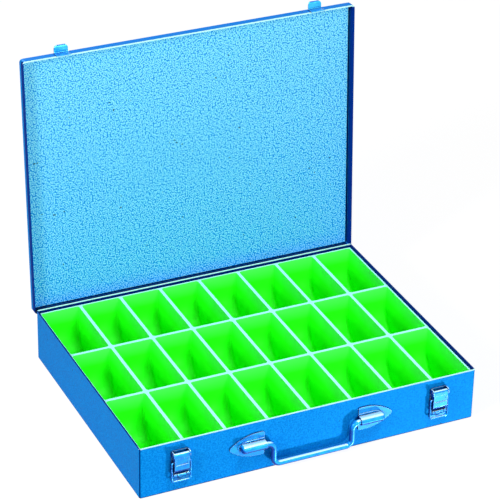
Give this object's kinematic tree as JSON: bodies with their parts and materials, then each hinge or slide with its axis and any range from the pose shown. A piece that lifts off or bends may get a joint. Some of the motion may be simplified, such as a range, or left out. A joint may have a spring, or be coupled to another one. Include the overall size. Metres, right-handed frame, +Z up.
{
  "type": "small parts carrying case",
  "caption": "Sheet-steel small parts case with a stand-up lid, lift-out tray of scooped pockets, draw latches and a swinging rod handle",
  "frame": {"origin": "centre of the underside of the case body", "axes": "+X along the width to the right as seen from the front, +Y to the rear (hinge side), +Z up; the front wall with latches and handle faces -Y"},
  "size_m": [0.44, 0.3774, 0.4084],
  "materials": {
    "case_enamel": "blue hammertone enamel, glossy with a fine pebbled grain",
    "blue_hardware": "smooth glossy blue lacquer over steel",
    "plain_steel": "bare drawn steel rod, slightly dull",
    "tray_plastic": "bright green moulded plastic, glossy"
  },
  "bodies": {
    "case": {"base_shell": "case_enamel", "compartment_tray": "tray_plastic", "hinge_rod": "plain_steel", "hinge_strap_1": "blue_hardware", "hinge_strap_2": "blue_hardware", "hinge_strap_3": "blue_hardware", "hinge_strap_4": "blue_hardware", "hinge_rivets": "blue_hardware", "lid_stop_rivets": "blue_hardware", "latch_rivets": "blue_hardware", "lid_stop_left": "blue_hardware", "lid_stop_right": "blue_hardware", "latch_plate_left": "blue_hardware", "latch_plate_right": "blue_hardware", "latch_pin_left": "blue_hardware", "latch_pin_right": "blue_hardware", "handle_plate_left": "blue_hardware", "handle_plate_right": "blue_hardware"},
    "lid": {"lid_shell": "case_enamel", "catch_left": "blue_hardware", "catch_right": "blue_hardware"},
    "lever_left": {"lever_left": "blue_hardware"},
    "lever_right": {"lever_right": "blue_hardware"},
    "bail_left": {"bail_left": "blue_hardware"},
    "bail_right": {"bail_right": "blue_hardware"},
    "handle": {"carry_handle": "blue_hardware"}
  },
  "joints": [
    {"name": "lid_hinge", "type": "hinge", "parent": "case", "child": "lid", "pos_m": [0, 0.17045, 0.06045], "axis": [-1, 0, 0], "range_deg": [-93.3, 0]},
    {"name": "handle_swing", "type": "hinge", "parent": "case", "child": "handle", "pos_m": [0, -0.1729, 0.0383], "axis": [-1, 0, 0], "range_deg": [-5, 170]},
    {"name": "lever_left_swing", "type": "hinge", "parent": "case", "child": "lever_left", "pos_m": [-0.168, -0.172, 0.053], "axis": [-1, 0, 0], "range_deg": [0, 100]},
    {"name": "bail_left_swing", "type": "hinge", "parent": "lever_left", "child": "bail_left", "pos_m": [-0.168, -0.171, 0.042], "axis": [-1, 0, 0], "range_deg": [-2, 115]},
    {"name": "lever_right_swing", "type": "hinge", "parent": "case", "child": "lever_right", "pos_m": [0.168, -0.172, 0.053], "axis": [-1, 0, 0], "range_deg": [0, 100]},
    {"name": "bail_right_swing", "type": "hinge", "parent": "lever_right", "child": "bail_right", "pos_m": [0.168, -0.171, 0.042], "axis": [-1, 0, 0], "range_deg": [-2, 115]}
  ]
}
